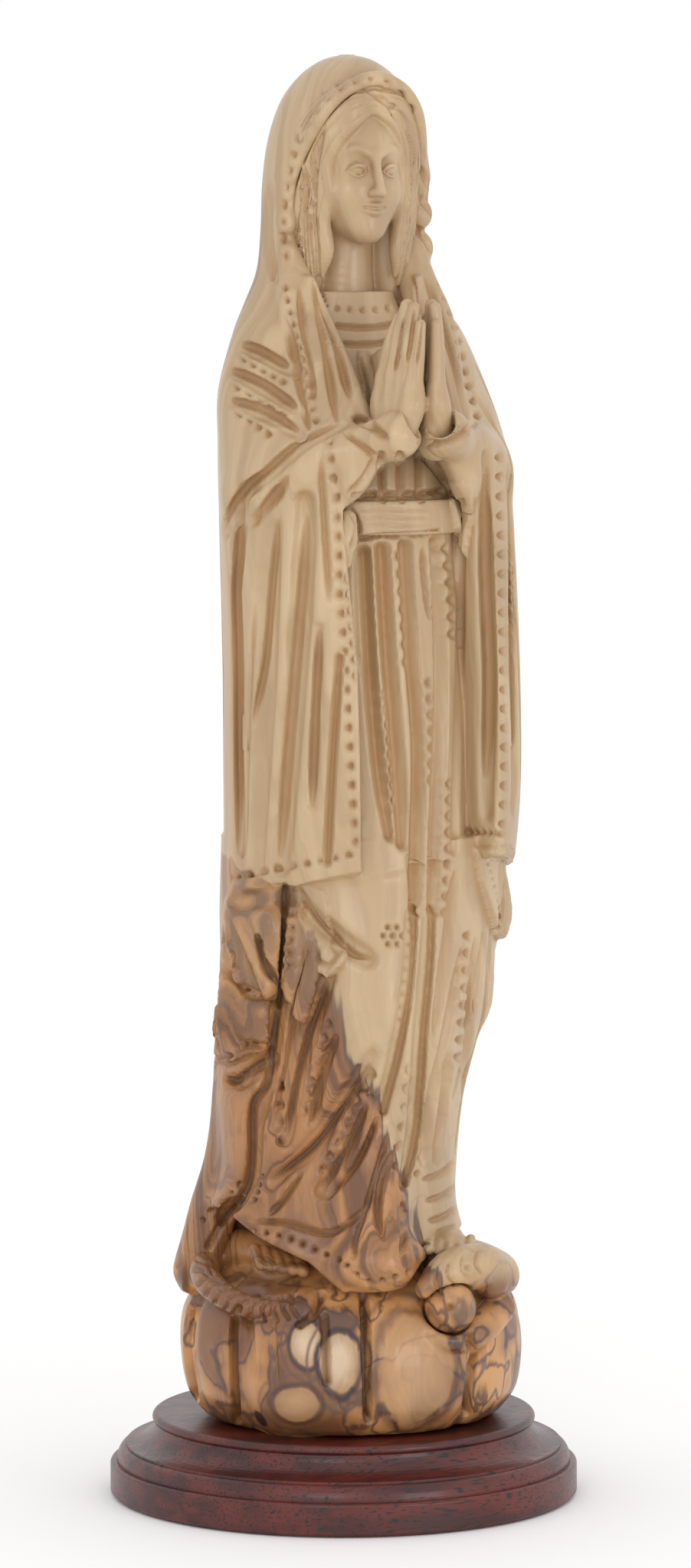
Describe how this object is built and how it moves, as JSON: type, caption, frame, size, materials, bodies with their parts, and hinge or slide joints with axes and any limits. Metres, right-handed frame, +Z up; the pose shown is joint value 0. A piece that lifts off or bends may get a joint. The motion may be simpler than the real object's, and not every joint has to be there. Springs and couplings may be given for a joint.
{
  "type": "carved praying madonna statue",
  "caption": "Robed and hooded praying figure carved in olive wood, standing on a lobed mound with a serpent, on a round turned plinth.",
  "frame": {"origin": "centre of the felt's underside, on the table under the plinth's axis", "axes": "+Z up, the figure faces -Y, +X towards its left hand"},
  "size_m": [0.111, 0.111, 0.34],
  "materials": {
    "olive_wood": "oiled and buffed to a soft satin",
    "mahogany": "red-brown, varnished to a gloss",
    "beech": "plain turned dowel",
    "screw_brass": "bright",
    "felt": "short dense felt"
  },
  "bodies": {
    "root": {"carved_figure": "olive_wood", "plinth": "mahogany", "locating_dowel": "beech", "front_screw": "screw_brass", "rear_screw": "screw_brass", "felt_disc": "felt"}
  },
  "joints": []
}
